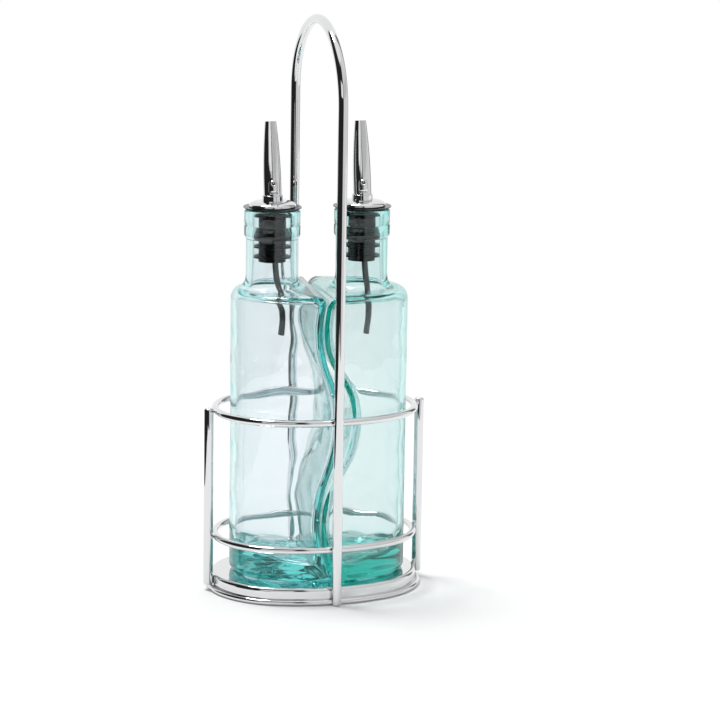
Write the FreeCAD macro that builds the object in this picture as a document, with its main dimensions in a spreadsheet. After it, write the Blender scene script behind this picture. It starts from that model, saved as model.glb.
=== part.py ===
import FreeCAD, Part
import math
import os
import Sketcher
from FreeCAD import Placement, Rotation, Vector

# Cruet set: two interlocking glass bottles with pourers in a chromed wire rack.
# Millimetres, +Z up. X runs left to right through the bottles, the front is towards -Y.
# The origin is on the table, in the middle of the rack.

DIMS = [
    # alias, value
    ("overall_height", 342.0),
    ("ring_half_length", 60.0),
    ("ring_half_depth", 45.4),
    ("ring_side_radius", 42.0),
    ("ring_wire", 4.4),
    ("upper_ring_height", 108.8),
    ("lower_ring_height", 32.5),
    ("rod_wire", 5.8),
    ("upright_top", 111.1),
    ("rod_end_radius", 1.2),
    ("arch_rise", 46.0),
    ("arch_corner_radius", 42.0),
    ("tray_top", 10.0),
    ("tray_sheet", 1.0),
    ("tray_edge_radius", 2.2),
    ("bead_wire", 3.4),
    ("bead_out", 1.0),
    ("pair_turn", 6.0),
    ("pair_shift", 1.9),
    ("pair_half_length", 52.7),
    ("pair_half_depth", 39.0),
    ("pair_side_radius", 35.0),
    ("pair_gap", 0.6),
    ("body_height", 172.0),
    ("body_edge_radius", 6.0),
    ("heel_radius", 2.5),
    ("glass_wall", 3.2),
    ("shoulder_thickness", 3.6),
    ("cavity_edge_radius", 2.0),
    ("wave_top_radius", 76.0),
    ("upper_waist_x", -3.5),
    ("upper_waist_z", 150.0),
    ("left_bulge_x", 7.3),
    ("right_bulge_x", 14.0),
    ("bulge_z", 97.5),
    ("lower_waist_x", -4.0),
    ("lower_waist_z", 34.0),
    ("wave_foot_radius", 73.0),
    ("left_floor_outer", 18.0),
    ("left_floor_inner", 3.0),
    ("right_floor_outer", 15.0),
    ("right_floor_inner", 6.0),
    ("left_neck_x", -28.6),
    ("right_neck_x", 24.9),
    ("neck_radius", 15.4),
    ("neck_bore_radius", 11.0),
    ("neck_bore_flare", 1.2),
    ("neck_root_radius", 3.0),
    ("finish_radius", 16.6),
    ("finish_height", 15.0),
    ("finish_bore_radius", 10.9),
    ("lip_edge_radius", 1.2),
    ("lip_height", 218.0),
    ("stopper_length", 30.5),
    ("stopper_core_radius", 8.0),
    ("rib_radius", 10.85),
    ("rib_count", 5.0),
    ("stem_radius", 4.5),
    ("turning_clearance", 0.05),
    ("flange_radius", 17.15),
    ("flange_thickness", 1.5),
    ("dome_radius", 13.9),
    ("dome_height", 3.6),
    ("dome_edge", 3.0),
    ("collar_radius", 6.1),
    ("collar_height", 3.3),
    ("spout_foot_radius", 5.4),
    ("spout_tip_radius", 3.35),
    ("spout_length", 43.0),
    ("spout_straight", 6.0),
    ("spout_wall", 0.8),
    ("spout_lean", 8.0),
    ("spout_lean_azimuth", 97.0),
    ("vent_radius", 2.6),
    ("vent_height", 9.0),
    ("vent_inset", 1.4),
    ("vent_hole", 0.6),
    ("air_tube_radius", 1.8),
    ("air_tube_bore", 1.1),
    ("tube_start", 6.0),
    ("tube_straight", 26.0),
    ("tube_bend_radius", 105.0),
    ("left_tube_offset", 1.8),
    ("left_tube_bend", 14.0),
    ("left_tube_back", 9.0),
    ("left_tube_return", 60.0),
    ("right_tube_offset", 1.8),
    ("right_tube_bend", 8.5),
    ("right_tube_back", 6.5),
    ("right_tube_return", 130.0),
]

doc = FreeCAD.newDocument("cruet_set")


def make_sheet():
    sheet = doc.addObject("Spreadsheet::Sheet", "dims")
    for row, (alias, value) in enumerate(DIMS, start=1):
        sheet.set(f"A{row}", alias)
        sheet.set(f"B{row}", str(value))
        sheet.setAlias(f"B{row}", alias)
    doc.recompute()
    return sheet


sheet = make_sheet()


def value(expression):
    """Number that an expression on the sheet gives."""
    return float(sheet.evalExpression(expression.replace("dims.", "")))


def add_body(label):
    body = doc.addObject("PartDesign::Body", label)
    body.Label = label
    return body


def add_sketch(body, name, plane="XY_Plane", height="0"):
    """Sketch on one of the body's own origin planes, raised by an expression."""
    sketch = body.newObject("Sketcher::SketchObject", name)
    origin = next(f for f in body.Origin.OriginFeatures if f.Role == plane)
    sketch.AttachmentSupport = (origin, [""])
    sketch.MapMode = "FlatFace"
    sketch.setExpression("AttachmentOffset.Base.z", f"({height}) * 1 mm")
    return sketch


def constrain(sketch, *arguments, size=None):
    """Add a constraint, and bind it to an expression when it has a size."""
    index = sketch.addConstraint(Sketcher.Constraint(*arguments))
    if size is not None:
        sketch.setExpression(f"Constraints[{index}]", f"({size}) * 1 mm")
    return index


def arc(x, y, radius, start, end):
    circle = Part.Circle(Vector(x, y, 0), Vector(0, 0, 1), radius)
    return Part.ArcOfCircle(circle, start, end)


def line(x1, y1, x2, y2):
    return Part.LineSegment(Vector(x1, y1, 0), Vector(x2, y2, 0))


# Outlines and curves ---------------------------------------------------------------

RING = ("dims.ring_half_length", "dims.ring_half_depth", "dims.ring_side_radius")
PAIR = ("dims.pair_half_length", "dims.pair_half_depth", "dims.pair_side_radius")


def draw_oval(sketch, shape, grow):
    """Oval of four tangent arcs, moved outwards everywhere by the expression grow."""
    length, depth, side = shape
    centre = f"({length} - {side})"
    front = f"(({centre}^2 + {depth}^2 - {side}^2) / (2 * ({depth} - {side})))"
    small, large = f"({side} + {grow})", f"({front} + {grow})"
    joint = f"({small} * ({front} - {depth}) / ({front} - {side}))"
    c, k, y = value(centre), value(front) - value(depth), value(joint)
    turn = math.asin(y / value(small))
    spec = [(c, 0, small, -turn, turn), (-c, 0, small, math.pi - turn, math.pi + turn),
            (0, -k, large, turn, math.pi - turn), (0, k, large, math.pi + turn, -turn)]
    right, left, back, near = [
        sketch.addGeometry(arc(cx, cy, value(radius), start, end), False)
        for cx, cy, radius, start, end in spec]
    for end_arc, sign in ((right, 1), (left, -1)):
        constrain(sketch, "PointOnObject", end_arc, 3, -1)
        constrain(sketch, "DistanceX", -1, 1, end_arc, 3, sign * c, size=f"{sign} * {centre}")
        constrain(sketch, "Radius", end_arc, value(small), size=small)
        for corner, direction in ((1, -sign), (2, sign)):
            constrain(sketch, "DistanceY", -1, 1, end_arc, corner, direction * y,
                      size=f"{direction} * {joint}")
    for long_arc, first, second in ((back, right, left), (near, left, right)):
        constrain(sketch, "Coincident", long_arc, 1, first, 2)
        constrain(sketch, "Coincident", long_arc, 2, second, 1)
        constrain(sketch, "Radius", long_arc, value(large), size=large)


def half_swing(x1, z1, x2, z2):
    """Radius of the two equal arcs that join two points with upright tangents."""
    return f"((({z1} - {z2})^2 + ({x2} - {x1})^2) / (4 * ({x2} - {x1})))"


def on_circle(cx, cz, radius, z):
    """X of the left-hand point of a circle at height z."""
    return f"({cx} - sqrt(({radius})^2 - ({z} - ({cz}))^2))"


def swing_middle(x1, z1, x2, z2, shift):
    """Point where the two equal arcs of a swing meet, moved by shift square to the curve."""
    radius = half_swing(x1, z1, x2, z2)
    part = f"(({radius} + {shift}) / (2 * {radius}))"
    return (f"({x1} + {radius} + {part} * ({x2} - {x1} - 2 * {radius}))",
            f"({z1} + {part} * ({z2} - {z1}))")


def draw_wave(sketch, bulge, shift, far, top, foot):
    """Region on one side of the S-shaped parting curve, out to x = far.

    The curve is six tangent arcs through two waists and a bulge. shift moves it
    square to itself towards -X, so bottles and cavities share one construction.
    """
    waist1, high = "dims.upper_waist_x", "dims.upper_waist_z"
    waist2, low = "dims.lower_waist_x", "dims.lower_waist_z"
    middle = "dims.bulge_z"
    crown, base = "dims.wave_top_radius", "dims.wave_foot_radius"
    upper = half_swing(waist1, high, bulge, middle)
    lower = half_swing(waist2, middle, bulge, low)
    crown_x = on_circle(f"{waist1} + {crown}", high, f"{crown} + {shift}", top)
    base_x = on_circle(f"{waist2} + {base}", low, f"{base} + {shift}", foot)
    joints = [(crown_x, top), (f"{waist1} - {shift}", high),
              swing_middle(waist1, high, bulge, middle, shift), (f"{bulge} - {shift}", middle),
              swing_middle(waist2, low, bulge, middle, shift), (f"{waist2} - {shift}", low),
              (base_x, foot)]
    spec = [  # centre x, centre z, radius, +1 where the centre is right of the curve
        (f"{waist1} + {crown}", high, crown, 1), (f"{waist1} + {upper}", high, upper, 1),
        (f"{bulge} - {upper}", middle, upper, -1), (f"{bulge} - {lower}", middle, lower, -1),
        (f"{waist2} + {lower}", low, lower, 1), (f"{waist2} + {base}", low, base, 1)]
    ends = []
    for index, (cx, cz, radius, side) in enumerate(spec):
        size = f"{radius} + {side} * {shift}"
        x, z, r = value(cx), value(cz), value(size)
        upper_angle, lower_angle = [math.atan2(value(joint[1]) - z, value(joint[0]) - x)
                                    for joint in joints[index:index + 2]]
        angles = (upper_angle, lower_angle) if side > 0 else (lower_angle, upper_angle)
        one = sketch.addGeometry(arc(x, z, r, *(angle % (2 * math.pi) if side > 0 else angle
                                                for angle in angles)), False)
        above, below = (1, 2) if side > 0 else (2, 1)
        constrain(sketch, "Radius", one, r, size=size)
        if ends:
            constrain(sketch, "Coincident", one, above, *ends[-1])
        else:
            place_point(sketch, one, above, *joints[0])
            ends.append((one, above))
        place_point(sketch, one, below, *joints[index + 1])
        ends.append((one, below))
    close_region(sketch, (ends[0], ends[-1]), value(top), value(foot), far)


def place_point(sketch, geometry, corner, x, y):
    constrain(sketch, "DistanceX", -1, 1, geometry, corner, value(x), size=x)
    constrain(sketch, "DistanceY", -1, 1, geometry, corner, value(y), size=y)


def close_region(sketch, ends, top, foot, far):
    """Join the ends of the curve by three straight lines through x = far."""
    above = sketch.addGeometry(line(0, top, far, top), False)
    beyond = sketch.addGeometry(line(far, top, far, foot), False)
    below = sketch.addGeometry(line(far, foot, 0, foot), False)
    constrain(sketch, "Coincident", above, 1, *ends[0])
    constrain(sketch, "Coincident", above, 2, beyond, 1)
    constrain(sketch, "Coincident", beyond, 2, below, 1)
    constrain(sketch, "Coincident", below, 2, *ends[1])
    constrain(sketch, "Horizontal", above)
    constrain(sketch, "Vertical", beyond)
    constrain(sketch, "Horizontal", below)
    constrain(sketch, "DistanceX", -1, 1, beyond, 1, far)


def arc_between(start, end, radius):
    """Arc from one point to another: anticlockwise for a positive radius."""
    (x1, y1), (x2, y2) = (start, end) if radius > 0 else (end, start)
    half = math.hypot(x2 - x1, y2 - y1) / 2
    reach = math.sqrt(radius ** 2 - half ** 2)
    cx = (x1 + x2) / 2 - reach * (y2 - y1) / (2 * half)
    cy = (y1 + y2) / 2 + reach * (x2 - x1) / (2 * half)
    first = math.atan2(y1 - cy, x1 - cx)
    last = math.atan2(y2 - cy, x2 - cx)
    return arc(cx, cy, abs(radius), first, last if last > first else last + 2 * math.pi)


def draw_chain(sketch, corners, closed=True):
    """Lines and arcs through corners given as expressions.

    A corner is (x, y), or (x, y, radius) where an arc leaves it: a minus sign
    before the radius makes the arc turn clockwise.
    """
    points = [(value(corner[0]), value(corner[1])) for corner in corners]
    count = len(corners) if closed else len(corners) - 1
    last = None
    for index in range(count):
        start, end = points[index], points[(index + 1) % len(points)]
        first, final = 1, 2
        if len(corners[index]) == 3:
            size = corners[index][2]
            bend = value(size)
            first, final = (1, 2) if bend > 0 else (2, 1)
            one = sketch.addGeometry(arc_between(start, end, bend), False)
            constrain(sketch, "Radius", one, abs(bend), size=f"abs({size})")
        else:
            one = sketch.addGeometry(line(*start, *end), False)
        if last is None:
            opening = (one, first)
            place_point(sketch, one, first, *corners[index][:2])
        else:
            constrain(sketch, "Coincident", one, first, *last)
        if closed and index == count - 1:
            constrain(sketch, "Coincident", one, final, *opening)
        else:
            place_point(sketch, one, final, *corners[(index + 1) % len(corners)][:2])
        last = (one, final)


# Features --------------------------------------------------------------------------

def pad(body, sketch, length):
    feature = body.newObject("PartDesign::Pad", sketch.Name + "_pad")
    feature.Profile = sketch
    feature.setExpression("Length", f"({length}) * 1 mm")
    return feature


def cut_through(body, sketch):
    """Pocket that runs clear through the body, both ways from the sketch."""
    feature = body.newObject("PartDesign::Pocket", sketch.Name + "_pocket")
    feature.Profile = sketch
    feature.Length = 300
    feature.SideType = "Symmetric"
    return feature


def hollow_below(body, sketch, depth):
    """Pocket that goes up into the body from a sketch under it."""
    feature = body.newObject("PartDesign::Pocket", sketch.Name + "_pocket")
    feature.Profile = sketch
    feature.setExpression("Length", f"({depth}) * 1 mm")
    feature.Reversed = True
    return feature


def turned_body(label, corners):
    """Body of revolution about its own Z axis, from a profile in the XZ plane."""
    body = add_body(label)
    profile = add_sketch(body, label + "_profile", "XZ_Plane")
    draw_chain(profile, corners)
    feature = body.newObject("PartDesign::Revolution", label + "_turned")
    feature.Profile = profile
    feature.ReferenceAxis = (profile, ["V_Axis"])
    feature.Angle = 360
    doc.recompute()
    return body


def pipe(body, path, kind, radius, plane, centre, height="0"):
    """Round section swept along a path sketch that starts or passes at its centre."""
    section = add_sketch(body, path.Name + "_" + kind, plane, height)
    circle = Part.Circle(Vector(value(centre[0]), value(centre[1]), 0), Vector(0, 0, 1),
                         value(radius))
    index = section.addGeometry(circle, False)
    constrain(section, "Radius", index, value(radius), size=radius)
    place_point(section, index, 3, *centre)
    feature = body.newObject("PartDesign::" + kind, path.Name + "_" + kind + "_pipe")
    feature.Profile = section
    feature.Spine = path
    return feature


def fillet(body, radius, wanted):
    """Round the edges of the body's last feature that the test called wanted picks."""
    doc.recompute()
    base = body.Tip
    names = [f"Edge{number}" for number, edge in enumerate(base.Shape.Edges, start=1)
             if wanted(edge)]
    feature = body.newObject("PartDesign::Fillet", base.Name + "_fillet")
    feature.Base = (base, names)
    feature.setExpression("Radius", f"({radius}) * 1 mm")
    doc.recompute()
    return feature


def is_ring(edge, radius, height):
    """True for a full circle of the given radius at the given height."""
    if not isinstance(edge.Curve, Part.Circle):
        return False
    return abs(edge.Curve.Radius - radius) < 0.01 and abs(edge.Curve.Center.z - height) < 0.01


def combine(kind, label, base, tool):
    feature = doc.addObject("Part::" + kind, label)
    feature.Label = label
    feature.Base = base
    feature.Tool = tool
    doc.recompute()
    return feature


def place(thing, x, y, z, turn="0", axis=(0, 0, 1)):
    """Bind a placement: a position and a turn in degrees, each an expression."""
    thing.Placement = Placement(Vector(value(x), value(y), value(z)),
                                Rotation(Vector(*axis), value(turn)))
    for letter, size in zip("xyz", (x, y, z)):
        thing.setExpression("Placement.Base." + letter, f"({size}) * 1 mm")
    thing.setExpression("Placement.Rotation.Angle", f"({turn}) * 1 deg")


def place_in_pair(thing, reach="0", rise="0"):
    """Stand a piece with the pair of bottles, which is turned a little in the rack."""
    place(thing, f"dims.pair_shift + {reach} * cos(dims.pair_turn * 1 deg)",
          f"-1 * {reach} * sin(dims.pair_turn * 1 deg)",
          f"dims.tray_top + {rise}", turn="-1 * dims.pair_turn")


# Rack ------------------------------------------------------------------------------

SKIRT = "dims.ring_wire / 2"
LEG_Y = "(dims.ring_half_depth + dims.ring_wire / 2 + dims.rod_wire / 2)"
UPRIGHT_X = "(dims.ring_half_length + dims.ring_wire / 2 + dims.rod_wire / 2)"


def make_tray():
    body = add_body("base_tray")
    outline = add_sketch(body, "tray_outline")
    draw_oval(outline, RING, SKIRT)
    pad(body, outline, "dims.tray_top")
    inside = add_sketch(body, "tray_inside")
    draw_oval(inside, RING, f"({SKIRT} - dims.tray_sheet)")
    hollow_below(body, inside, "dims.tray_top - dims.tray_sheet")
    top = value("dims.tray_top")
    under = top - value("dims.tray_sheet")
    fillet(body, "dims.tray_edge_radius",
           lambda edge: edge.BoundBox.ZMin > top - 0.01)
    fillet(body, "dims.tray_edge_radius - dims.tray_sheet",
           lambda edge: edge.BoundBox.ZMin > under - 0.01 and edge.BoundBox.ZMax < under + 0.01)
    return body


def make_bead():
    """Wire hem round the foot of the skirt, trimmed flush where it meets the skirt."""
    wire = add_body("bead_wire_form")
    path = add_sketch(wire, "bead_path", height="dims.bead_wire / 2")
    draw_oval(path, RING, f"({SKIRT} + dims.bead_out)")
    pipe(wire, path, "AdditivePipe", "dims.bead_wire / 2", "XZ_Plane",
         (f"dims.ring_half_length + {SKIRT} + dims.bead_out", "dims.bead_wire / 2"))
    keep_out = add_body("bead_keep_out")
    inside = add_sketch(keep_out, "bead_inside", height="-1")
    draw_oval(inside, RING, SKIRT)
    pad(keep_out, inside, "dims.tray_top")
    return combine("Cut", "base_bead", wire, keep_out)


def make_ring(label, height):
    body = add_body(label)
    path = add_sketch(body, label + "_path", height=height)
    draw_oval(path, RING, "0")
    pipe(body, path, "AdditivePipe", "dims.ring_wire / 2", "XZ_Plane",
         ("dims.ring_half_length", height))
    return body


def make_handle(bead):
    """One rod: up from the front foot, over a three-centred arch, down to the rear foot.

    Both feet are notched to sit round the bead.
    """
    body = add_body("handle_form")
    path = add_sketch(body, "handle_path", "YZ_Plane")
    crown = "(dims.overall_height - dims.rod_wire / 2)"
    spring = f"({crown} - dims.arch_rise)"
    corner = "dims.arch_corner_radius"
    inset = f"({LEG_Y} - {corner})"
    top = f"(({inset}^2 + dims.arch_rise^2 - {corner}^2) / (2 * (dims.arch_rise - {corner})))"
    joint_y = f"({inset} * {top} / ({top} - {corner}))"
    joint_z = f"({crown} - {top} + ({top} - dims.arch_rise) * {top} / ({top} - {corner}))"
    draw_chain(path, [
        (f"-1 * {LEG_Y}", "0"),
        (f"-1 * {LEG_Y}", spring, f"-1 * {corner}"),
        (f"-1 * {joint_y}", joint_z, f"-1 * {top}"),
        (joint_y, joint_z, f"-1 * {corner}"),
        (LEG_Y, spring),
        (LEG_Y, "0")], closed=False)
    pipe(body, path, "AdditivePipe", "dims.rod_wire / 2", "XY_Plane",
         ("0", f"-1 * {LEG_Y}"))
    fillet(body, "dims.rod_end_radius", lambda edge: edge.BoundBox.ZMax < 0.01)
    return combine("Cut", "handle_wire", body, bead)


def make_upright(side, sign):
    body = add_body(side + "_upright")
    section = add_sketch(body, side + "_upright_section", height="dims.bead_wire")
    circle = section.addGeometry(Part.Circle(Vector(sign * value(UPRIGHT_X), 0, 0),
                                             Vector(0, 0, 1), value("dims.rod_wire / 2")), False)
    constrain(section, "Radius", circle, value("dims.rod_wire / 2"), size="dims.rod_wire / 2")
    place_point(section, circle, 3, f"{sign} * {UPRIGHT_X}", "0")
    pad(body, section, "dims.upright_top - dims.bead_wire")
    radius = value("dims.rod_wire / 2")
    fillet(body, "dims.rod_end_radius",
           lambda edge: isinstance(edge.Curve, Part.Circle) and edge.Curve.Radius > radius - 0.01)
    return body


# Bottles ---------------------------------------------------------------------------

def half_block(label, side, shrink, top):
    """One half of the pair: the oval block on its own side of the parting curve."""
    body = add_body(label)
    outline = add_sketch(body, label + "_outline")
    draw_oval(outline, PAIR, f"(-1 * {shrink})")
    pad(body, outline, top)
    parting = add_sketch(body, label + "_parting", "XZ_Plane")
    gap = f"(dims.pair_gap / 2 + {shrink})"
    beyond = 80
    if side == "left":
        draw_wave(parting, "dims.left_bulge_x", gap, beyond, "dims.body_height + 6", "-6")
    else:
        draw_wave(parting, "dims.right_bulge_x", f"(-1 * {gap})", -beyond,
                  "dims.body_height + 6", "-6")
    cut_through(body, parting)
    doc.recompute()
    return body


def make_form(side):
    """Outside of one bottle: the rounded half block with a turned neck on it."""
    block = half_block(side + "_form", side, "0", "dims.body_height")
    fillet(block, "dims.body_edge_radius", lambda edge: edge.BoundBox.ZMax > 0.01)
    fillet(block, "dims.heel_radius", lambda edge: edge.BoundBox.ZMax < 0.01)
    root = "(dims.neck_radius + dims.neck_root_radius + 0.3)"
    band = "(dims.lip_height - dims.finish_height)"
    neck = turned_body(side + "_neck_form", [
        ("0", "dims.body_height - 6"), (root, "dims.body_height - 6"),
        (root, "dims.body_height"), ("dims.neck_radius", "dims.body_height"),
        ("dims.neck_radius", f"{band} - 1"), ("dims.finish_radius", band),
        ("dims.finish_radius", "dims.lip_height"), ("0", "dims.lip_height")])
    fillet(neck, "dims.neck_root_radius",
           lambda edge: is_ring(edge, value("dims.neck_radius"), value("dims.body_height")))
    fillet(neck, "dims.lip_edge_radius",
           lambda edge: is_ring(edge, value("dims.finish_radius"), value("dims.lip_height")))
    place(neck, f"dims.{side}_neck_x", "0", "0")
    return combine("Fuse", side + "_outside", block, neck)


def make_cavity(side, sign):
    """Inside of one bottle: thicker glass low down and on the outer side of the floor."""
    top = "(dims.body_height - dims.shoulder_thickness)"
    block = half_block(side + "_cavity", side, "dims.glass_wall", top)
    floor = add_sketch(block, side + "_floor", "XZ_Plane")
    draw_chain(floor, [
        (f"{sign * 60}", "-5"), (f"{sign * 60}", f"dims.{side}_floor_outer"),
        (f"{sign * -20}", f"dims.{side}_floor_inner"), (f"{sign * -20}", "-5")])
    cut_through(block, floor)
    fillet(block, "dims.cavity_edge_radius", lambda edge: True)
    band = "(dims.lip_height - dims.finish_height)"
    root = "(dims.neck_bore_radius + dims.neck_bore_flare)"
    bore = turned_body(side + "_bore", [
        ("0", f"{top} - 12"), (root, f"{top} - 12"), (root, f"{top} + 1"),
        ("dims.neck_bore_radius", f"{top} + 10"),
        ("dims.neck_bore_radius", f"{band} - 5"), ("dims.finish_bore_radius", f"{band} - 1"),
        ("dims.finish_bore_radius", "dims.lip_height + 1"), ("0", "dims.lip_height + 1")])
    place(bore, f"dims.{side}_neck_x", "0", "0")
    return combine("Fuse", side + "_inside", block, bore)


def make_bottle(side, sign):
    bottle = combine("Cut", side + "_bottle", make_form(side), make_cavity(side, sign))
    place_in_pair(bottle)
    return bottle


# Pourers: heights are measured up from the lip of the neck --------------------------

BORE = "(dims.stem_radius + dims.turning_clearance)"
DOME_FOOT = "dims.flange_thickness"
COLLAR_FOOT = "(dims.flange_thickness + dims.dome_height)"
PIVOT = "(dims.flange_thickness + dims.dome_height + dims.collar_height)"


def make_stopper(side):
    """Rubber sleeve with thin ribs that grip the mouth of the bottle."""
    core, rib = "dims.stopper_core_radius", "dims.rib_radius"
    pitch = "dims.stopper_length / dims.rib_count"
    corners = [(BORE, "0"), (core, "0")]
    for index in range(int(value("dims.rib_count"))):
        for radius, share in ((core, 0.35), (rib, 0.42), (rib, 0.6), (core, 0.72)):
            corners.append((radius, f"-1 * {index + share:g} * {pitch}"))
    corners += [(core, "-1 * dims.stopper_length"), (BORE, "-1 * dims.stopper_length")]
    body = turned_body(side + "_stopper", corners)
    place_on_neck(body, side)
    return body


def make_flange(side):
    """Washer with a hollow edge, between the lip and the dome."""
    thick = "dims.flange_thickness"
    body = turned_body(side + "_flange", [
        (BORE, "0"), ("dims.flange_radius - 1.4", "0"),
        ("dims.flange_radius - 1", f"{thick} * 0.35", "-2"),
        ("dims.flange_radius", f"{thick} * 0.7"), ("dims.flange_radius", thick),
        (BORE, thick)])
    place_on_neck(body, side)
    return body


def make_dome(side):
    """Low chromed cap with a rounded edge and a gentle rise to the collar."""
    edge = "dims.dome_edge"
    body = turned_body(side + "_dome", [
        ("dims.stem_radius", DOME_FOOT), ("dims.dome_radius - 0.3", DOME_FOOT),
        ("dims.dome_radius", f"{DOME_FOOT} + 0.3", edge),
        (f"dims.dome_radius - {edge}", f"{DOME_FOOT} + 0.3 + {edge}", "60"),
        ("dims.collar_radius + 0.6", COLLAR_FOOT), ("dims.stem_radius", COLLAR_FOOT)])
    place_on_neck(body, side)
    return body


def make_collar(side):
    inner = "dims.spout_foot_radius"
    body = turned_body(side + "_collar", [
        (inner, COLLAR_FOOT), ("dims.collar_radius", COLLAR_FOOT),
        ("dims.collar_radius", f"{PIVOT} - 0.5", "0.5"),
        ("dims.collar_radius - 0.5", PIVOT), (inner, PIVOT)])
    place_on_neck(body, side)
    return body


def spout_solid(name, foot, tip, stem, beyond):
    """Stem, upright foot, ball at the bend and leaning taper, as one solid."""
    lower = turned_body(name + "_lower", [
        ("0", f"-1 * dims.stopper_length - {beyond}"),
        (stem, f"-1 * dims.stopper_length - {beyond}"),
        (stem, f"{COLLAR_FOOT} + {beyond}"), (foot, f"{COLLAR_FOOT} + {beyond}"),
        (foot, PIVOT), ("0", PIVOT)])
    end = f"(dims.spout_length + {beyond})"
    run = f"({end} - dims.spout_straight)"
    fall = f"({foot} - {tip})"
    taper = turned_body(name + "_taper", [
        ("0", "0"), (foot, "0"),
        (foot, "dims.spout_straight", f"(({run}^2 + {fall}^2) / (2 * {fall}))"),
        (tip, end), ("0", end)])
    lean(taper)
    ball = doc.addObject("Part::Sphere", name + "_ball")
    ball.setExpression("Radius", f"({foot}) * 1 mm")
    place(ball, "0", "0", PIVOT)
    upper = combine("Fuse", name + "_upper", taper, ball)
    return combine("Fuse", name, upper, lower)


def lean(thing):
    """Tip a piece over at the pivot, away from the vent."""
    azimuth = math.radians(value("dims.spout_lean_azimuth"))
    axis = (-math.sin(azimuth), math.cos(azimuth), 0)
    place(thing, "0", "0", PIVOT, "dims.spout_lean", axis)


def make_spout(side):
    outer = spout_solid(side + "_spout_outer", "dims.spout_foot_radius",
                        "dims.spout_tip_radius", "dims.stem_radius", "0")
    inner = spout_solid(side + "_spout_inner", "(dims.spout_foot_radius - dims.spout_wall)",
                        "(dims.spout_tip_radius - dims.spout_wall)",
                        "(dims.stem_radius - dims.spout_wall)", "1")
    spout = combine("Cut", side + "_spout", outer, inner)
    place_on_neck(spout, side)
    return outer


def make_vent(side, spout_outer):
    """Bullet-shaped air inlet on the back of the spout, with a small hole in its dome."""
    radius, height = "dims.vent_radius", "dims.vent_height"
    bump = turned_body(side + "_vent_form", [
        ("dims.vent_hole", "0.9"), (radius, "0.9"), (radius, f"{height} - {radius}", radius),
        ("dims.vent_hole", f"{height} - {radius} + sqrt({radius}^2 - dims.vent_hole^2)")])
    azimuth = math.radians(value("dims.spout_lean_azimuth"))
    offset = value("dims.spout_foot_radius - dims.vent_inset")
    lean(bump)
    reach = Vector(-offset * math.cos(azimuth), -offset * math.sin(azimuth), 0)
    shifted = bump.Placement.multiply(Placement(reach, Rotation()))
    for letter in "xyz":
        bump.setExpression("Placement.Base." + letter, None)
    bump.Placement = shifted
    vent = combine("Cut", side + "_vent", bump, spout_outer)
    place_on_neck(vent, side)
    return vent


def make_air_tube(side):
    """Dark breather tube: straight through the stopper, then two easy bends."""
    body = add_body(side + "_air_tube")
    path = add_sketch(body, side + "_air_path", "XZ_Plane")
    x, bend, back = (f"dims.{side}_tube_{name}" for name in ("offset", "bend", "back"))
    radius, return_radius = "dims.tube_bend_radius", f"dims.{side}_tube_return"
    start, straight = "-1 * dims.tube_start", "dims.tube_straight"
    joint_x = f"({x} + {radius} * (1 - cos({bend} * 1 deg)))"
    joint_z = f"(-1 * {straight} - {radius} * sin({bend} * 1 deg))"
    end_x = f"({joint_x} + {return_radius} * (cos({back} * 1 deg) - cos({bend} * 1 deg)))"
    end_z = f"({joint_z} - {return_radius} * (sin({back} * 1 deg) + sin({bend} * 1 deg)))"
    draw_chain(path, [
        (x, start), (x, f"-1 * {straight}", radius),
        (joint_x, joint_z, f"-1 * {return_radius}"), (end_x, end_z)], closed=False)
    for kind, size in (("AdditivePipe", "dims.air_tube_radius"),
                       ("SubtractivePipe", "dims.air_tube_bore")):
        pipe(body, path, kind, size, "XY_Plane", (x, "0"), start)
    place_on_neck(body, side)
    return body


def place_on_neck(thing, side):
    place_in_pair(thing, f"dims.{side}_neck_x", "dims.lip_height")


# The whole set -----------------------------------------------------------------------

def make_all():
    make_tray()
    bead = make_bead()
    make_ring("upper_ring", "dims.upper_ring_height")
    make_ring("lower_ring", "dims.lower_ring_height")
    make_handle(bead)
    for side, sign in (("left", -1), ("right", 1)):
        make_upright(side, sign)
        make_bottle(side, sign)
        make_stopper(side)
        make_flange(side)
        make_dome(side)
        make_collar(side)
        make_vent(side, make_spout(side))
        make_air_tube(side)


NODES = ["base_tray", "base_bead", "handle_wire", "upper_ring", "lower_ring"]
NODES += [f"{side}_{piece}" for side in ("left", "right") for piece in (
    "upright", "bottle", "stopper", "flange", "dome", "collar", "spout", "vent", "air_tube")]


def check_document():
    for thing in doc.Objects:
        if "Invalid" in thing.State or "Error" in thing.State:
            raise RuntimeError(f"{thing.Label} did not compute")


def export_nodes():
    os.makedirs("parts", exist_ok=True)
    for label in NODES:
        shape = doc.getObjectsByLabel(label)[0].Shape
        if shape.isNull() or not shape.isValid() or len(shape.Solids) != 1:
            raise RuntimeError(f"{label} is not one valid solid")
        shape.exportStep(f"parts/{label}.step")
        print(f"{label}: {shape.Volume / 1000:.2f} cm3")


make_all()
doc.recompute()
check_document()
export_nodes()
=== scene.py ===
"""Cruet set: two glass bottles with metal pourers in a chromed wire rack."""
import math

import bmesh
import bpy
from mathutils import Matrix, Vector


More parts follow.
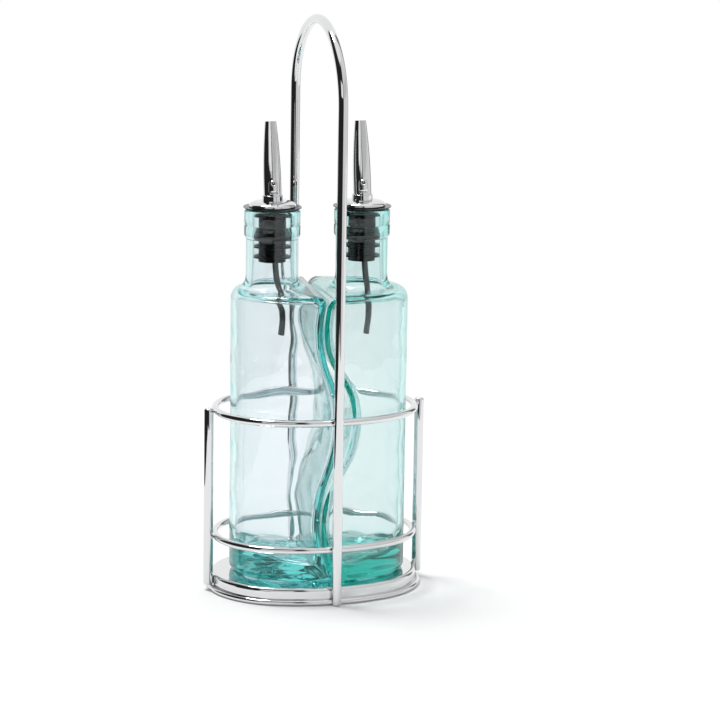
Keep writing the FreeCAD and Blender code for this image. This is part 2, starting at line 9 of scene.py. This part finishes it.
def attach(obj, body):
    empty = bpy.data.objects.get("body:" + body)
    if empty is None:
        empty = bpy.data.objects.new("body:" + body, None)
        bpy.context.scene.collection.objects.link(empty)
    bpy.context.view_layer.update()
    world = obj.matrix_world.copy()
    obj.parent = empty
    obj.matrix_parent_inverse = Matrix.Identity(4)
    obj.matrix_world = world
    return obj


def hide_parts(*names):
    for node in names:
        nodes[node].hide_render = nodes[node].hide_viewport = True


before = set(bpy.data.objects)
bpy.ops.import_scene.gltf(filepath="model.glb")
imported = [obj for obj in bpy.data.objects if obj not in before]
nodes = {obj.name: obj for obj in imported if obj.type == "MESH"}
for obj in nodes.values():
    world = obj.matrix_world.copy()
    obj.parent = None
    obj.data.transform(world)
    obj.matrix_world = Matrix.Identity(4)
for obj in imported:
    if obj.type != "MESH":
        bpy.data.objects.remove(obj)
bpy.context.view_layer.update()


# Materials -------------------------------------------------------------------

# Where glass starts to take on a painted darker shade as it is seen more edge on, and where that
# painted shade is darkest
EDGE_SHADE_SPAN = (0.62, 0.92)


def new_material(name):
    """Material with its node tree and its main shader."""
    material = bpy.data.materials.new(name)
    material.use_nodes = True
    tree = material.node_tree
    return material, tree, tree.nodes["Principled BSDF"]


def noise(tree, scale, detail=4.0):
    """Fine unevenness, fixed to the object."""
    texture = tree.nodes.new("ShaderNodeTexNoise")
    texture.inputs["Scale"].default_value = scale
    texture.inputs["Detail"].default_value = detail
    coordinates = tree.nodes.new("ShaderNodeTexCoord")
    tree.links.new(coordinates.outputs["Object"], texture.inputs["Vector"])
    return texture.outputs["Fac"]


def mapped(tree, source, before, after):
    """Map one range of values onto another, and hold the ends."""
    ranger = tree.nodes.new("ShaderNodeMapRange")
    ranger.inputs["From Min"].default_value, ranger.inputs["From Max"].default_value = before
    ranger.inputs["To Min"].default_value, ranger.inputs["To Max"].default_value = after
    tree.links.new(source, ranger.inputs["Value"])
    return ranger.outputs["Result"]


def spread(tree, source, low, high):
    """Spread the middle of a noise over a range of values."""
    return mapped(tree, source, (0.3, 0.7), (low, high))


def blend_colours(tree, factor, first, second, start=0.0, end=1.0):
    """Run from one colour to another as a factor goes from start to end."""
    ramp = tree.nodes.new("ShaderNodeValToRGB")
    ramp.color_ramp.elements[0].position = start
    ramp.color_ramp.elements[0].color = (*first, 1)
    ramp.color_ramp.elements[1].position = end
    ramp.color_ramp.elements[1].color = (*second, 1)
    tree.links.new(factor, ramp.inputs["Fac"])
    return ramp.outputs["Color"]


def bump(tree, shader, height, strength, distance):
    """Let a height texture bend the light on a shader."""
    node = tree.nodes.new("ShaderNodeBump")
    node.inputs["Strength"].default_value = strength
    node.inputs["Distance"].default_value = distance
    tree.links.new(height, node.inputs["Height"])
    tree.links.new(node.outputs["Normal"], shader.inputs["Normal"])


def chrome(name, tone):
    """Bright plating, a little uneven in tone and polish."""
    material, tree, shader = new_material(name)
    shader.inputs["Metallic"].default_value = 1
    tint = blend_colours(tree, noise(tree, 90), (tone, tone, tone * 1.01),
                         (tone * 0.96, tone * 0.97, tone * 0.98))
    tree.links.new(tint, shader.inputs["Base Color"])
    tree.links.new(spread(tree, noise(tree, 500), 0.015, 0.035), shader.inputs["Roughness"])
    return material


def glass(name, passed, density, face, edge_shade):
    """Thick glass that tints light by its path, with a darker teal shade painted on where it is
    seen edge on.
    """
    material, tree, shader = new_material(name)
    shader.inputs["Transmission Weight"].default_value = 1
    shader.inputs["IOR"].default_value = 1.5
    shader.inputs["Specular IOR Level"].default_value = 0.35
    # Painted shade: the base colour runs from the face colour to dark teal as the surface is seen
    # edge on, standing in for the dark room seen through the glass's edges
    edge = tree.nodes.new("ShaderNodeLayerWeight")
    edge.inputs["Blend"].default_value = 0.5
    tint = blend_colours(tree, edge.outputs["Facing"], face, edge_shade, *EDGE_SHADE_SPAN)
    tree.links.new(tint, shader.inputs["Base Color"])
    tree.links.new(spread(tree, noise(tree, 60), 0.0, 0.008), shader.inputs["Roughness"])
    bump(tree, shader, noise(tree, 22, 1), 0.1, 0.0005)
    volume = tree.nodes.new("ShaderNodeVolumeAbsorption")
    volume.inputs["Color"].default_value = (*passed, 1)
    volume.inputs["Density"].default_value = density
    tree.links.new(volume.outputs["Volume"], tree.nodes["Material Output"].inputs["Volume"])
    return material


def dark(name, first, second, low, high, grain, gloss=0.5):
    """Dark rubber or plastic of two near colours and a range of roughness."""
    material, tree, shader = new_material(name)
    shader.inputs["Specular IOR Level"].default_value = gloss
    tree.links.new(blend_colours(tree, noise(tree, grain), first, second),
                   shader.inputs["Base Color"])
    tree.links.new(spread(tree, noise(tree, grain * 2), low, high),
                   shader.inputs["Roughness"])
    return material


# Dark teal of the painted shade at the glass's edges
TEAL_EDGE_SHADE = (0.02, 0.34, 0.31)

rack_chrome = chrome("rack_chrome", 0.76)
pourer_chrome = chrome("pourer_chrome", 0.74)
clear_glass = {
    "left": glass("left_glass", (0.0, 0.81, 0.79), 28, (0.985, 0.955, 0.975), TEAL_EDGE_SHADE),
    "right": glass("right_glass", (0.0, 0.80, 0.75), 54, (1.0, 0.945, 0.955), TEAL_EDGE_SHADE)}
rubber = dark("rubber", (0.003, 0.0035, 0.003), (0.007, 0.009, 0.008), 0.25, 0.4, 200, 0.08)
plastic = dark("flange_plastic", (0.006, 0.006, 0.006), (0.015, 0.012, 0.010), 0.12, 0.25, 150)
tube_plastic = dark("tube_plastic", (0.03, 0.035, 0.035), (0.06, 0.065, 0.065), 0.3, 0.45, 150)


def finish_node(label, material):
    """Give a piece of the frame its material."""
    for slot in nodes[label].material_slots:
        slot.material = material


# Skins through rings of points -------------------------------------------------

def skin(name, rings, matrix, material, loop=False):
    """Closed smooth surface through rings of equally many points.

    It is fanned shut at both ends, or joined end to end where loop is set.
    """
    mesh = bmesh.new()
    rows = [[mesh.verts.new(matrix @ Vector(point)) for point in ring] for ring in rings]
    count = len(rows[0])
    for low, high in zip(rows, rows[1:] + rows[:1] if loop else rows[1:]):
        for index in range(count):
            after = (index + 1) % count
            mesh.faces.new((low[index], low[after], high[after], high[index]))
    for row in () if loop else (rows[0], rows[-1]):
        middle = mesh.verts.new(sum((vert.co for vert in row), Vector()) / count)
        for index in range(count):
            mesh.faces.new((row[index], row[(index + 1) % count], middle))
    bmesh.ops.recalc_face_normals(mesh, faces=mesh.faces)
    data = bpy.data.meshes.new(name)
    mesh.to_mesh(data)
    mesh.free()
    data.polygons.foreach_set("use_smooth", [True] * len(data.polygons))
    data.materials.append(material)
    thing = bpy.data.objects.new(name, data)
    bpy.context.collection.objects.link(thing)
    return thing


def steps(start, end, count):
    """Evenly spaced numbers from start up to, not including, end."""
    return [start + (end - start) * index / count for index in range(count)]


def turned(profile, count=64):
    """Rings of a shape of revolution about Z, from pairs of radius and height."""
    return [[(radius * math.cos(angle), radius * math.sin(angle), height)
             for angle in steps(0, 2 * math.pi, count)] for radius, height in profile]


# Rack: millimetres ---------------------------------------------------------------

MILLIMETRES = Matrix.Scale(0.001, 4)
UP, ACROSS = Vector((0, 0, 1)), Vector((1, 0, 0))
ROD, WIRE, BEAD = 2.9, 2.2, 1.7
RING_LENGTH, RING_DEPTH, RING_END = 60.0, 45.4, 42.0
UPPER_RING, LOWER_RING, BEAD_OUT = 108.8, 32.5, 3.2
LEG_Y, UPRIGHT_X = 50.5, 65.1
POST_TOP, POST_EDGE = 111.1, 1.2
CROWN, RISE, CORNER = 339.1, 46.0, 42.0


def oval(length, depth, end, grow, height):
    """Closed path of four tangent arcs, as points and directions along it."""
    centre = length - end
    long_radius = (centre ** 2 + depth ** 2 - end ** 2) / (2 * (depth - end))
    offset = long_radius - depth
    turn = math.atan2(offset, centre)
    path = []
    for x, y, radius, first, last, count in (
            (centre, 0, end, -turn, turn, 48),
            (0, -offset, long_radius, turn, math.pi - turn, 24),
            (-centre, 0, end, math.pi - turn, math.pi + turn, 48),
            (0, offset, long_radius, math.pi + turn, 2 * math.pi - turn, 24)):
        for angle in steps(first, last, count):
            out = Vector((math.cos(angle), math.sin(angle), 0))
            path.append((Vector((x, y, height)) + out * (radius + grow), UP.cross(out)))
    return path


def wire(name, path, sizes, across, loop=False):
    """Round wire along a flat path; across is square to the path's plane."""
    rings = []
    for (point, along), size in zip(path, sizes):
        side = along.cross(across)
        rings.append([point + size * (math.cos(angle) * side + math.sin(angle) * across)
                      for angle in steps(0, 2 * math.pi, 24)])
    add_to_rack(skin(name + "_skin", rings, MILLIMETRES, rack_chrome, loop), name)


def add_to_rack(thing, node):
    """Let a piece stand for a wire of the rack."""
    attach(thing, "rack")
    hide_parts(node)


def handle_path():
    """Up the front leg, over the arch, and down the rear leg."""
    inset = LEG_Y - CORNER
    top = (inset ** 2 + RISE ** 2 - CORNER ** 2) / (2 * (RISE - CORNER))
    spring = CROWN - RISE
    meet = math.atan2(top - RISE, inset)
    heights = [0, 0.35, 1.2] + steps(4, spring, 20)
    path = [(Vector((0, -LEG_Y, height)), UP) for height in heights]
    for y, z, radius, first, last, count in (
            (-inset, spring, CORNER, math.pi, math.pi - meet, 20),
            (0, CROWN - top, top, math.pi - meet, meet, 48),
            (inset, spring, CORNER, meet, 0, 20)):
        for angle in steps(first, last, count):
            out = Vector((0, math.cos(angle), math.sin(angle)))
            path.append((Vector((0, y, z)) + out * radius, out.cross(ACROSS)))
    path += [(Vector((0, LEG_Y, height)), -UP) for height in [spring] + heights[::-1]]
    return path


def make_rack():
    """Handle, rings and bead as swept wires, and the two short side posts."""
    path = handle_path()
    ends = [1.7, 2.6]
    wire("handle_wire", path, ends + [ROD] * (len(path) - 4) + ends[::-1], ACROSS)
    for name, size, grow, height in (("upper_ring", WIRE, 0, UPPER_RING),
                                     ("lower_ring", WIRE, 0, LOWER_RING),
                                     ("base_bead", BEAD, BEAD_OUT, BEAD)):
        path = oval(RING_LENGTH, RING_DEPTH, RING_END, grow, height)
        wire(name, path, [size] * len(path), UP, loop=True)
    bend = POST_TOP - POST_EDGE
    profile = [(1.7, 3.4), (2.6, 3.7), (ROD, 4.6), (ROD, 40), (ROD, 75), (ROD, bend)]
    profile += [(ROD - POST_EDGE + POST_EDGE * math.cos(turn), bend + POST_EDGE * math.sin(turn))
                for turn in steps(0.3, math.pi / 2, 4)] + [(1.6, POST_TOP)]
    for side, sign in (("left", -1), ("right", 1)):
        foot = MILLIMETRES @ Matrix.Translation((sign * UPRIGHT_X, 0, 0))
        post = skin(side + "_post", turned(profile, 32), foot, rack_chrome)
        add_to_rack(post, side + "_upright")
    finish_node("base_tray", rack_chrome)


# Bottles: millimetres, in the frame of the pair --------------------------------

HALF_LENGTH, HALF_DEPTH, END_RADIUS = 52.7, 39.0, 35.0
END_X = HALF_LENGTH - END_RADIUS
LONG_RADIUS = (END_X ** 2 + HALF_DEPTH ** 2 - END_RADIUS ** 2) / (2 * (HALF_DEPTH - END_RADIUS))
LONG_Y = LONG_RADIUS - HALF_DEPTH
END_TURN = math.atan2(LONG_Y, END_X)
HALF_GAP = 0.3
HIGH_WAIST, BELLY_HEIGHT, LOW_WAIST = (-3.5, 150.0), 97.5, (-4.0, 34.0)
TOP_CURVE, FOOT_CURVE = 76.0, 73.0
PAIR = (Matrix.Translation((0.0019, 0, 0.010)) @ Matrix.Rotation(math.radians(-6), 4, "Z")
        @ Matrix.Scale(0.001, 4))
# Mirror, belly, neck, and the floor's height at 60 mm outwards and 20 mm inwards
BOTTLES = {"left": (1, 7.3, -28.6, 18.0, 3.0), "right": (-1, 14.0, 24.9, 15.0, 6.0)}
CORNER_RADIUS, INNER_CORNER, WALL = 3.0, 2.5, 3.2
HEEL_TOP, HEEL_RADIUS = 4.15, 4.0
SHOULDER_FOOT, SHOULDER_RISE, SHOULDER_RADIUS = 164.5, 7.0, 5.5
ROOT_RADIUS, ROOT_HEIGHT = 19.1, 172.2
VAULT_FOOT, VAULT_RISE, VAULT_RADIUS = 163.4, 4.5, 4.0
# Radius and height, up the outside of the neck, over the lip and down the bore
NECK_PROFILE = [
    (17.9, 172.8), (16.9, 173.8), (16.1, 175.4), (15.6, 177.6), (15.4, 180.5), (15.4, 186),
    (15.4, 192), (15.4, 199.6), (15.45, 200.8), (15.8, 201.6), (16.35, 202.2), (16.6, 203.2),
    (16.6, 208.3), (16.2, 208.7), (16.1, 209), (16.2, 209.3), (16.6, 209.7), (16.6, 216.2),
    (16.4, 217.2), (15.9, 217.8), (15.2, 218), (12.0, 218), (11.3, 217.8), (10.95, 217.1),
    (10.92, 215), (10.92, 203), (11.0, 198), (11.1, 190), (11.4, 184), (11.8, 178),
    (12.5, 173.5), (13.6, 170.6), (15.2, 169)]


def bow(height, waist, radius):
    """X of an arc that bends to the right, away from its waist."""
    return waist[0] + radius - math.sqrt(radius ** 2 - (height - waist[1]) ** 2)


def parting(height, belly):
    """X of the curve between the bottles: two waists and a belly, all in arcs."""
    if height >= HIGH_WAIST[1]:
        return bow(height, HIGH_WAIST, TOP_CURVE)
    if height <= LOW_WAIST[1]:
        return bow(height, LOW_WAIST, FOOT_CURVE)
    waist = HIGH_WAIST if height > BELLY_HEIGHT else LOW_WAIST
    swing, rise = belly - waist[0], abs(waist[1] - BELLY_HEIGHT)
    radius = (rise ** 2 + swing ** 2) / (4 * swing)
    if abs(height - waist[1]) < rise / 2:
        return bow(height, waist, radius)
    return belly - radius + math.sqrt(radius ** 2 - (height - BELLY_HEIGHT) ** 2)


def section(side, height, inset, corner=CORNER_RADIUS):
    """Outline of a bottle at a height, moved inwards, with its upright corners rounded."""
    mirror, belly = BOTTLES[side][:2]
    corner = max(0.6, corner)
    depth = inset + corner
    flat = mirror * parting(height, belly) - HALF_GAP - depth
    long_radius, end_radius = LONG_RADIUS - depth, END_RADIUS - depth
    start = math.acos(flat / long_radius)
    reach = long_radius * math.sin(start) - LONG_Y
    points = [(flat + corner, y) for y in steps(-reach, reach, 16)]
    turn = math.pi - END_TURN
    arcs = [((flat, reach), 0, 0, start, 8), ((0, -LONG_Y), long_radius, start, turn, 16),
            ((-END_X, 0), end_radius, turn, 2 * math.pi - turn, 34),
            ((0, LONG_Y), long_radius, 2 * math.pi - turn, 2 * math.pi - start, 16),
            ((flat, -reach), 0, 2 * math.pi - start, 2 * math.pi, 8)]
    for centre, radius, first, last, count in arcs:
        points += [(centre[0] + (radius + corner) * math.cos(angle),
                    centre[1] + (radius + corner) * math.sin(angle))
                   for angle in steps(first, last, count)]
    return [(mirror * x, y, height) for x, y in points]


def circle(side, outline, radius, height):
    """Ring round the neck whose points keep the directions of an outline's points."""
    neck = BOTTLES[side][2]
    ring = []
    for x, y, _ in outline:
        away = math.hypot(x - neck, y)
        ring.append((neck + (x - neck) * radius / away, y * radius / away, height))
    return ring


def between(first, second, share, height):
    """Ring part of the way from one ring to another."""
    return [(a[0] + (b[0] - a[0]) * share, a[1] + (b[1] - a[1]) * share, height)
            for a, b in zip(first, second)]


def shrunk(ring, share, surface):
    """Ring drawn in towards its middle, laid on a surface."""
    x0, y0 = (sum(point[axis] for point in ring) / len(ring) for axis in (0, 1))
    moved = [(x0 + (x - x0) * share, y0 + (y - y0) * share) for x, y, _ in ring]
    return [(x, y, surface(x, y)) for x, y in moved]


def ripple(x, y):
    """Gentle unevenness of pressed glass."""
    wide = math.sin(0.21 * x + 0.9) * math.cos(0.17 * y)
    narrow = math.sin(0.37 * y - 0.12 * x)
    return 0.5 * wide + 0.35 * narrow


def bottle_outside(side):
    """Rings from the middle of the foot, up the outside, over the lip and down the bore."""
    foot = section(side, 4, 9)
    rings = [shrunk(foot, share, lambda x, y: 2.1 + 0.9 * ripple(x, y))
             for share in (0.15, 0.35, 0.55, 0.75, 0.9)]
    rings += [section(side, height, inset) for height, inset in
              ((1.9, 8.6), (1.2, 7.2), (0.5, 6.1), (0.2, 5.2), (0.15, 4.2))]
    for angle in (15, 35, 55, 75):
        bend = math.radians(angle)
        rings.append(section(side, HEEL_TOP - HEEL_RADIUS * math.cos(bend),
                             HEEL_RADIUS * (1 - math.sin(bend))))
    rings += [section(side, height, 0) for height in steps(HEEL_TOP, SHOULDER_FOOT, 50)]
    for angle in (0, 12, 24, 36, 48, 60, 72):
        bend = math.radians(angle)
        inset = SHOULDER_RADIUS * (1 - math.cos(bend))
        rings.append(section(side, SHOULDER_FOOT + SHOULDER_RISE * math.sin(bend), inset,
                             CORNER_RADIUS - inset))
    edge = rings[-1]
    root = circle(side, edge, ROOT_RADIUS, ROOT_HEIGHT)
    rings += [between(edge, root, share, ROOT_HEIGHT - 1 + share) for share in (0.35, 0.7)]
    rings.append(root)
    rings += [circle(side, edge, radius, height) for radius, height in NECK_PROFILE]
    return rings


def bottle_inside(side):
    """Rings from the bore down the inside of the walls to the middle of the floor."""
    mirror, _, _, outer, inner = BOTTLES[side]
    bore, top = NECK_PROFILE[-1]
    wall = section(side, 168, 6.8, 1)
    root = circle(side, wall, bore, top)
    rings = [between(root, wall, share, top - 1.1 * share) for share in (0.4, 0.75)]
    for angle in (75, 60, 45, 30, 15, 0):
        bend = math.radians(angle)
        rings.append(section(side, VAULT_FOOT + VAULT_RISE * math.sin(bend),
                             WALL + VAULT_RADIUS * (1 - math.cos(bend)), INNER_CORNER))
    for height in steps(159.5, 24, 46):
        rings.append([(x + 0.2 * ripple(y, height), y + 0.2 * ripple(x, height), z)
                      for x, y, z in section(side, height, WALL, INNER_CORNER)])

    def floor(x, y):
        """Sloping, uneven floor of the cavity."""
        slope = (outer - inner) / 80
        return inner + slope * (20 - mirror * x) + 2.4 * ripple(x, y) + 1

    for rise, inset in ((4.5, 3.3), (2.2, 3.9), (0.9, 5.0), (0.2, 6.4)):
        outline = section(side, 16, inset, INNER_CORNER)
        rings.append([(x, y, floor(x, y) + rise) for x, y, _ in outline])
    rings += [shrunk(rings[-1], share, floor) for share in (0.88, 0.74, 0.6, 0.46, 0.32, 0.16)]
    return rings


def make_bottle(side):
    """One closed skin, outside and inside, whose clear glass hardly shades the table."""
    bottle = skin(side + "_glass_bottle", bottle_outside(side) + bottle_inside(side), PAIR,
                  clear_glass[side])
    bottle.visible_shadow = False
    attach(bottle, side + "_bottle_body")
    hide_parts(side + "_bottle")


# Pourers: heights from the lip of the neck ---------------------------------------

LIP, PIVOT = 218.0, 8.4
LEAN, LEAN_AZIMUTH, VENT_AZIMUTH = 8, 97, -94
DOME = ([(4.9, 1.56), (13.5, 1.56), (13.82, 1.74), (13.9, 2.1)]
        + [(6.7 + 7.2 * math.cos(turn), 2.3 + 2.8 * math.sin(turn))
           for turn in steps(0.1, math.pi / 2, 10)]
        + [(6.7, 5.1), (4.9, 5.1)])
VENT = ([(2.8, 0.4), (2.8, 3), (2.8, 5.6)]
        + [(2.8 * math.cos(turn), 6.2 + 2.8 * math.sin(turn))
           for turn in steps(0.15, math.pi / 2, 9)])
VENT_RIM = [(1.3 + 0.4 * math.cos(turn), 0.4 * math.sin(turn))
            for turn in steps(0, 2 * math.pi, 12)]
# Dark disc in the inlet's mouth, painted shade of the inside of the hole
VENT_HOLE_SHADE = [(1.25, -0.4), (1.2, 0.1), (0.8, 0.12), (0.4, 0.13)]


def add_piece(thing, side, node):
    """Let a piece stand for one of the chromed nodes of a pourer's head."""
    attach(thing, side + "_head")
    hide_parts(f"{side}_{node}")


def make_pourer(side):
    """Domed cap, and the air inlet on the back of the spout with its rimmed hole, whose mouth is
    shut by a dark disc as painted shade.
    """
    neck = BOTTLES[side][2]
    seat = PAIR @ Matrix.Translation((neck, 0, LIP))
    add_piece(skin(side + "_cap", turned(DOME), seat, pourer_chrome, loop=True), side, "dome")
    azimuth = math.radians(LEAN_AZIMUTH)
    axis = Vector((-math.sin(azimuth), math.cos(azimuth), 0))
    inlet = (seat @ Matrix.Translation((0, 0, PIVOT))
             @ Matrix.Rotation(math.radians(LEAN), 4, axis)
             @ Matrix.Rotation(math.radians(VENT_AZIMUTH), 4, "Z")
             @ Matrix.Translation((4.0, 0, 0)))
    mouth = inlet @ Matrix.Translation((2.6, 0, 6.6)) @ Matrix.Rotation(math.radians(76), 4, "Y")
    add_piece(skin(side + "_inlet", turned(VENT, 32), inlet, pourer_chrome), side, "vent")
    add_piece(skin(side + "_inlet_rim", turned(VENT_RIM, 32), mouth, pourer_chrome, loop=True),
              side, "vent")
    # Painted shade: a dark plastic disc shuts the inlet's mouth, where the hole's inside is in
    # shade
    painted_hole_shade = skin(side + "_inlet_hole", turned(VENT_HOLE_SHADE, 32), mouth, plastic)
    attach(painted_hole_shade, side + "_head")


make_rack()
for side in ("left", "right"):
    make_bottle(side)
    make_pourer(side)
    finish_node(side + "_stopper", rubber)
    finish_node(side + "_flange", plastic)
    finish_node(side + "_air_tube", tube_plastic)
    for piece in ("collar", "spout"):
        finish_node(f"{side}_{piece}", pourer_chrome)


# Studio ----------------------------------------------------------------------

# Brightness of the room by direction: 0.25 is towards -Y, 0.5 towards +X, 0.75 towards +Y.
# ROOM_MIDDLE holds in a band of heights, with its white cards, and ROOM_BELOW elsewhere.
ROOM_BELOW = [(0.00, 0.02), (0.232, 0.02), (0.245, 0.75), (0.50, 0.8), (0.55, 0.95), (0.565, 0.15),
              (0.60, 0.15), (0.615, 1.0), (0.86, 1.0), (0.88, 0.02)]
ROOM_MIDDLE = [(0.00, 0.02), (0.10, 0.02), (0.107, 1.0), (0.208, 1.0), (0.213, 0.1),
               (0.228, 0.1), (0.243, 0.6), (0.47, 0.62), (0.55, 1.0), (0.565, 0.15), (0.60, 0.15),
               (0.615, 1.0), (0.86, 1.0), (0.88, 0.02)]
BAND_FOOT, BAND_TOP, CEILING = (0.13, 0.16), (0.45, 0.5), (0.8, 0.9)
# What light through glass sees at least, but for light that heads for the front
GLASS_LEVEL, FRONT_FADE = 0.7, (-0.7, -0.4)
# Outline of the paper on the table
PAPER = [(-0.5, -0.75), (1.8, -0.75), (1.8, 0.6), (-0.1, 0.6), (-0.25, 0.2), (-0.5, -0.3)]


def make_floor():
    """Pale paper that ends in front and to the left, where metal then reflects the dark."""
    mesh = bpy.data.meshes.new("floor")
    mesh.from_pydata([(x, y, 0) for x, y in PAPER], [], [tuple(range(len(PAPER)))])
    floor = bpy.data.objects.new("floor", mesh)
    bpy.context.collection.objects.link(floor)
    material, tree, shader = new_material("floor_paper")
    tree.links.new(blend_colours(tree, noise(tree, 3), (0.86, 0.86, 0.86), (0.88, 0.88, 0.88)),
                   shader.inputs["Base Color"])
    shader.inputs["Roughness"].default_value = 0.9
    mesh.materials.append(material)


def math_node(tree, operation, first, second):
    """Sum, product or the like of two numbers or sockets."""
    node = tree.nodes.new("ShaderNodeMath")
    node.operation = operation
    for socket, source in zip(node.inputs, (first, second)):
        if isinstance(source, (int, float)):
            socket.default_value = source
        else:
            tree.links.new(source, socket)
    return node.outputs["Value"]


def around_ramp(tree, turn, stops):
    """Grey levels by the direction round the room."""
    ramp = tree.nodes.new("ShaderNodeValToRGB")
    while len(ramp.color_ramp.elements) < len(stops):
        ramp.color_ramp.elements.new(0.5)
    for element, (place, level) in zip(ramp.color_ramp.elements, stops):
        element.position = place
        element.color = (level, level, level, 1)
    tree.links.new(turn, ramp.inputs["Fac"])
    return ramp.outputs["Color"]


def rising(tree, source, span):
    """0 below a span of values and 1 above it."""
    return mapped(tree, source, span, (0, 1))


def room_brightness(tree, split):
    """The room's brightness by direction, under a white ceiling."""
    around = math_node(tree, "ARCTAN2", split.outputs["Y"], split.outputs["X"])
    turn = math_node(tree, "ADD", math_node(tree, "DIVIDE", around, 2 * math.pi), 0.5)
    below = around_ramp(tree, turn, ROOM_BELOW)
    middle = around_ramp(tree, turn, ROOM_MIDDLE)
    height = split.outputs["Z"]
    band = math_node(tree, "SUBTRACT", rising(tree, height, BAND_FOOT),
                     rising(tree, height, BAND_TOP))
    rest = math_node(tree, "SUBTRACT", 1.0, band)
    walls = math_node(tree, "ADD", math_node(tree, "MULTIPLY", middle, band),
                      math_node(tree, "MULTIPLY", below, rest))
    return math_node(tree, "MAXIMUM", rising(tree, height, CEILING), walls)


def make_world():
    """White studio whose dark side shows only in reflections and through glass."""
    world = bpy.data.worlds.new("studio")
    bpy.context.scene.world = world
    world.use_nodes = True
    tree = world.node_tree
    white = tree.nodes["Background"]
    white.inputs["Color"].default_value = (1, 1, 1, 1)
    room = tree.nodes.new("ShaderNodeBackground")
    coordinates = tree.nodes.new("ShaderNodeTexCoord")
    split = tree.nodes.new("ShaderNodeSeparateXYZ")
    tree.links.new(coordinates.outputs["Generated"], split.inputs["Vector"])
    path = tree.nodes.new("ShaderNodeLightPath")
    behind = rising(tree, split.outputs["Y"], FRONT_FADE)
    veil = math_node(tree, "MULTIPLY", path.outputs["Is Transmission Ray"],
                     math_node(tree, "MULTIPLY", behind, GLASS_LEVEL))
    level = math_node(tree, "MAXIMUM", room_brightness(tree, split), veil)
    tree.links.new(level, room.inputs["Color"])
    mix = tree.nodes.new("ShaderNodeMixShader")
    tree.links.new(path.outputs["Is Camera Ray"], mix.inputs["Fac"])
    tree.links.new(room.outputs["Background"], mix.inputs[1])
    tree.links.new(white.outputs["Background"], mix.inputs[2])
    tree.links.new(mix.outputs["Shader"], tree.nodes["World Output"].inputs["Surface"])


def make_key():
    """High soft light from the left of the back."""
    data = bpy.data.lights.new("key", "SUN")
    data.energy = 1.9
    data.angle = math.radians(18)
    light = bpy.data.objects.new("key", data)
    bpy.context.collection.objects.link(light)
    light.rotation_euler = Vector((0.6, -0.65, -2.5)).to_track_quat("-Z", "Y").to_euler()


def make_camera():
    """Seen from the left of the front and a little above, from well back."""
    yaw, pitch, roll = (math.radians(angle) for angle in (16.906, 11.829, 0.873))
    aim = Vector((0.02456, -0.00987, 0.13788))
    distance = 1.8226
    forward = Vector((math.sin(yaw) * math.cos(pitch), math.cos(yaw) * math.cos(pitch),
                      -math.sin(pitch)))
    camera = bpy.data.objects.new("camera", bpy.data.cameras.new("camera"))
    bpy.context.collection.objects.link(camera)
    turn = forward.to_track_quat("-Z", "Y").to_matrix() @ Matrix.Rotation(roll, 3, "Z")
    camera.matrix_world = Matrix.Translation(aim - forward * distance) @ turn.to_4x4()
    camera.data.lens = 153.67
    camera.data.sensor_width = 36
    camera.data.clip_end = 100
    bpy.context.scene.camera = camera


make_floor()
make_world()
make_key()
make_camera()
bpy.context.scene.view_settings.view_transform = "Standard"
# Light runs far inside thick glass
bpy.context.scene.cycles.max_bounces = 32
bpy.context.scene.cycles.glossy_bounces = 24
bpy.context.scene.cycles.transmission_bounces = 24
